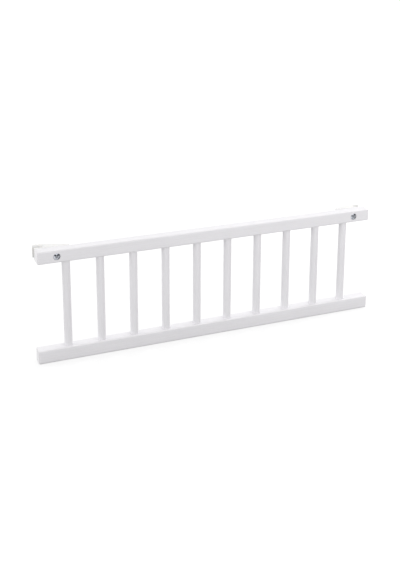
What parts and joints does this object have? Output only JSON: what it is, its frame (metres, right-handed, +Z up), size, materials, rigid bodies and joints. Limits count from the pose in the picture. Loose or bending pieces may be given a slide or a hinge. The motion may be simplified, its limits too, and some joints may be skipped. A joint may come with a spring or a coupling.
{
  "type": "bed guard rail",
  "caption": "Slatted closing rail for a child's bedside cot, with swivelling clips behind the ends of its top rail.",
  "frame": {"origin": "middle of the bottom rail's underside", "axes": "+X along the rails to the right as seen from the front, +Y from the front face to the clips, +Z up"},
  "size_m": [0.818, 0.0556, 0.2578],
  "materials": {
    "lacquered_wood": "satin white lacquer on beech",
    "moulded_clip": "moulded white nylon",
    "plated_steel": "zinc plated steel",
    "insert_brass": "turned brass"
  },
  "bodies": {
    "rail": {"bottom_rail": "lacquered_wood", "top_rail": "lacquered_wood", "baluster_01": "lacquered_wood", "baluster_02": "lacquered_wood", "baluster_03": "lacquered_wood", "baluster_04": "lacquered_wood", "baluster_05": "lacquered_wood", "baluster_06": "lacquered_wood", "baluster_07": "lacquered_wood", "baluster_08": "lacquered_wood", "baluster_09": "lacquered_wood", "baluster_10": "lacquered_wood"},
    "left_clip": {"left_hook": "moulded_clip", "left_insert": "insert_brass"},
    "right_clip": {"right_hook": "moulded_clip", "right_insert": "insert_brass"},
    "left_washer_body": {"left_washer": "plated_steel"},
    "right_washer_body": {"right_washer": "plated_steel"},
    "left_bolt_body": {"left_bolt": "plated_steel"},
    "right_bolt_body": {"right_bolt": "plated_steel"}
  },
  "joints": [
    {"name": "left_hook_swivel", "type": "hinge", "parent": "rail", "child": "left_clip", "pos_m": [-0.3615, 0.0138, 0.2415], "axis": [0, 1, 0], "range_deg": [-90, 90]},
    {"name": "right_hook_swivel", "type": "hinge", "parent": "rail", "child": "right_clip", "pos_m": [0.3615, 0.0138, 0.2415], "axis": [0, -1, 0], "range_deg": [-86, 94]},
    {"name": "left_washer_slide", "type": "slide", "parent": "rail", "child": "left_washer_body", "axis": [0, -1, 0], "range_m": [0, 0.003]},
    {"name": "left_bolt_turn", "type": "hinge", "parent": "left_washer_body", "child": "left_bolt_body", "pos_m": [-0.3615, -0.0131, 0.2415], "axis": [0, -1, 0], "range_deg": [0, 1080]},
    {"name": "right_washer_slide", "type": "slide", "parent": "rail", "child": "right_washer_body", "axis": [0, -1, 0], "range_m": [0, 0.003]},
    {"name": "right_bolt_turn", "type": "hinge", "parent": "right_washer_body", "child": "right_bolt_body", "pos_m": [0.3615, -0.0131, 0.2415], "axis": [0, -1, 0], "range_deg": [0, 1080]}
  ],
  "couplings": [
    {"joint": "left_washer_slide", "follows": "left_bolt_turn", "m_per_rad": 0.00015915},
    {"joint": "right_washer_slide", "follows": "right_bolt_turn", "m_per_rad": 0.00015915}
  ]
}
